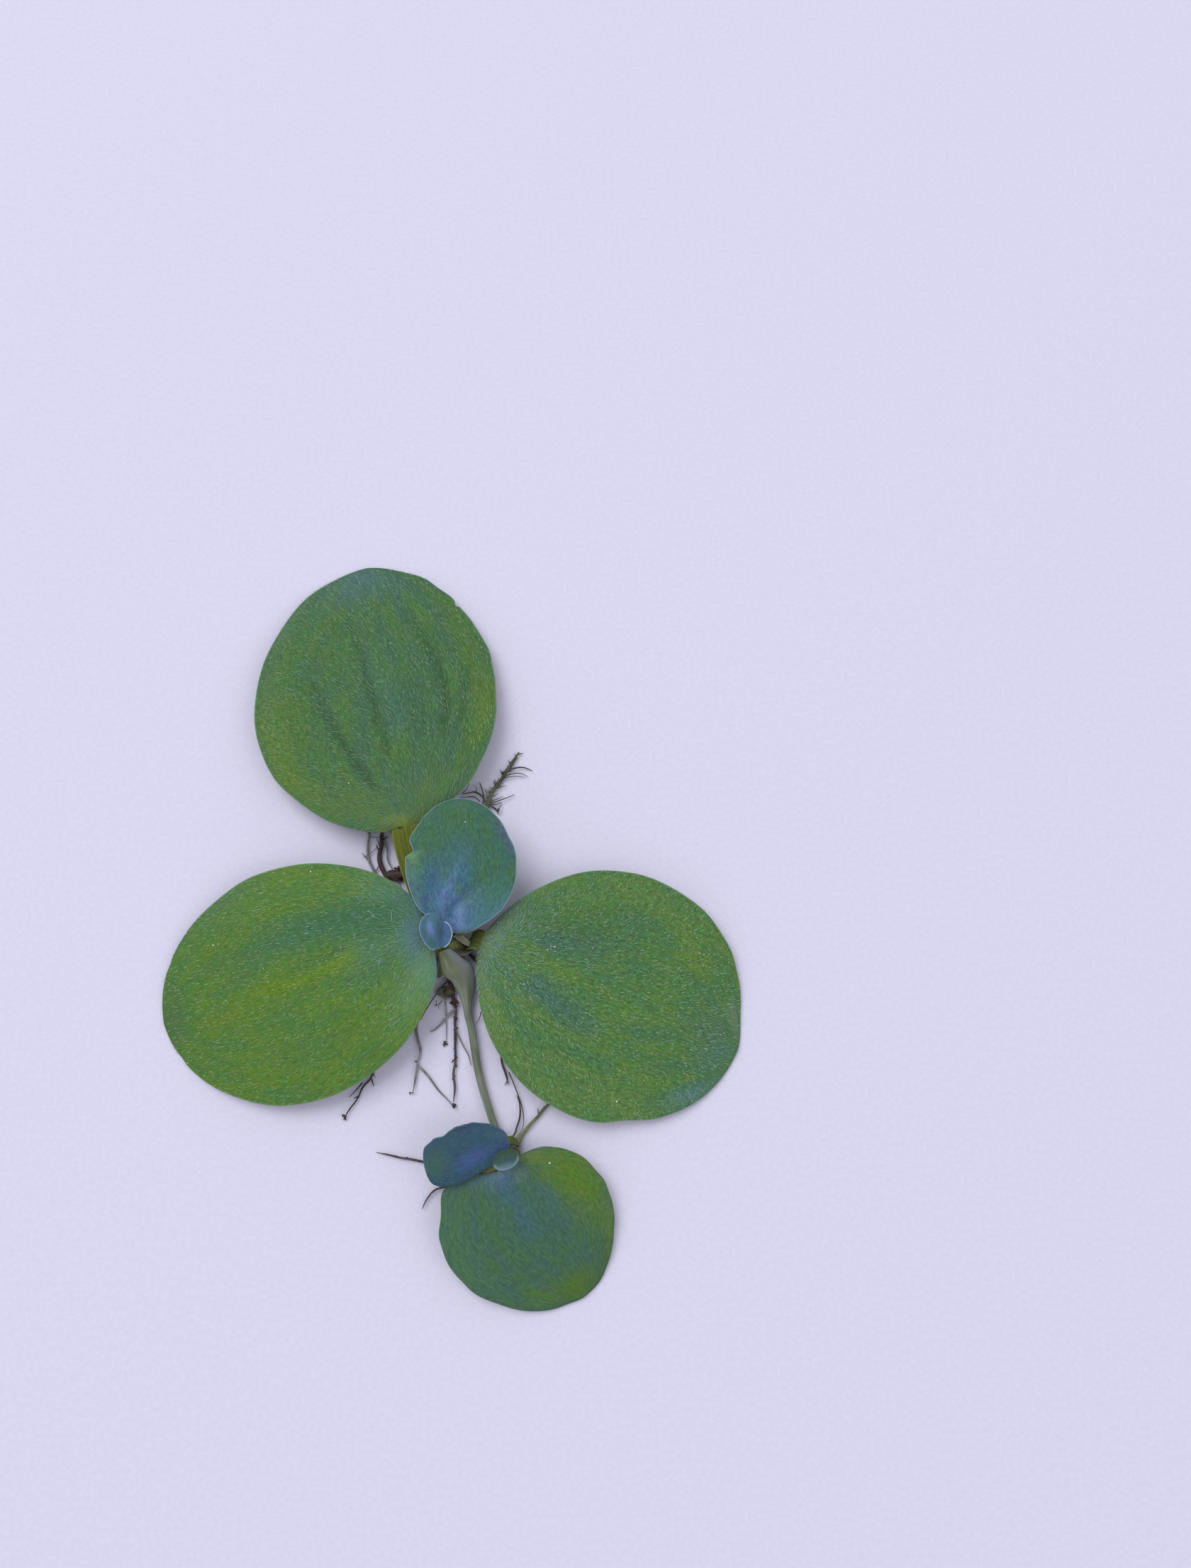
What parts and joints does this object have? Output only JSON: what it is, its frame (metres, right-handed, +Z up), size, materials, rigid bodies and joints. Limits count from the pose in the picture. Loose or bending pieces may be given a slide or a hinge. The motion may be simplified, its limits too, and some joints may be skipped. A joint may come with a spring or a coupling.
{
  "type": "water lettuce",
  "caption": "Young floating water lettuce rosette with rounded downy leaves, a bud, fine roots and a stolon to its daughter plantlet, laid flat as picked.",
  "frame": {"origin": "middle of the mother crown's flat underside, on the surface the plant lies on", "axes": "+Z up, away from the surface; +Y from the daughter plantlet towards the mother rosette and its back leaf; +X towards the mother's right leaf"},
  "size_m": [0.0536, 0.0701, 0.0066],
  "materials": {
    "grown_leaf": "matt, downy, blue-green to yellow-green leaf skin",
    "young_leaf": "matt, downy, teal young leaf skin with pale margins",
    "crown": "moist olive stem tissue",
    "stolon": "smooth, moist, olive, slightly translucent",
    "root": "moist root, pale olive to brown"
  },
  "bodies": {
    "root": {"leaf_left": "grown_leaf", "leaf_right": "grown_leaf", "leaf_back": "grown_leaf", "daughter_leaf_large": "grown_leaf", "leaf_inner": "young_leaf", "daughter_leaf_small": "young_leaf", "bud_leaf_outer": "young_leaf", "bud_leaf_inner": "young_leaf", "daughter_bud_leaf": "young_leaf", "crown": "crown", "daughter_crown": "crown", "stolon": "stolon", "root_front_long": "root", "root_front_mid": "root", "root_front_left": "root", "root_front_right": "root", "root_back_left": "root", "root_back_mid": "root", "root_back_right": "root", "root_feathery": "root", "daughter_root_right": "root", "daughter_root_back": "root", "daughter_root_left": "root", "daughter_root_front": "root"}
  },
  "joints": []
}
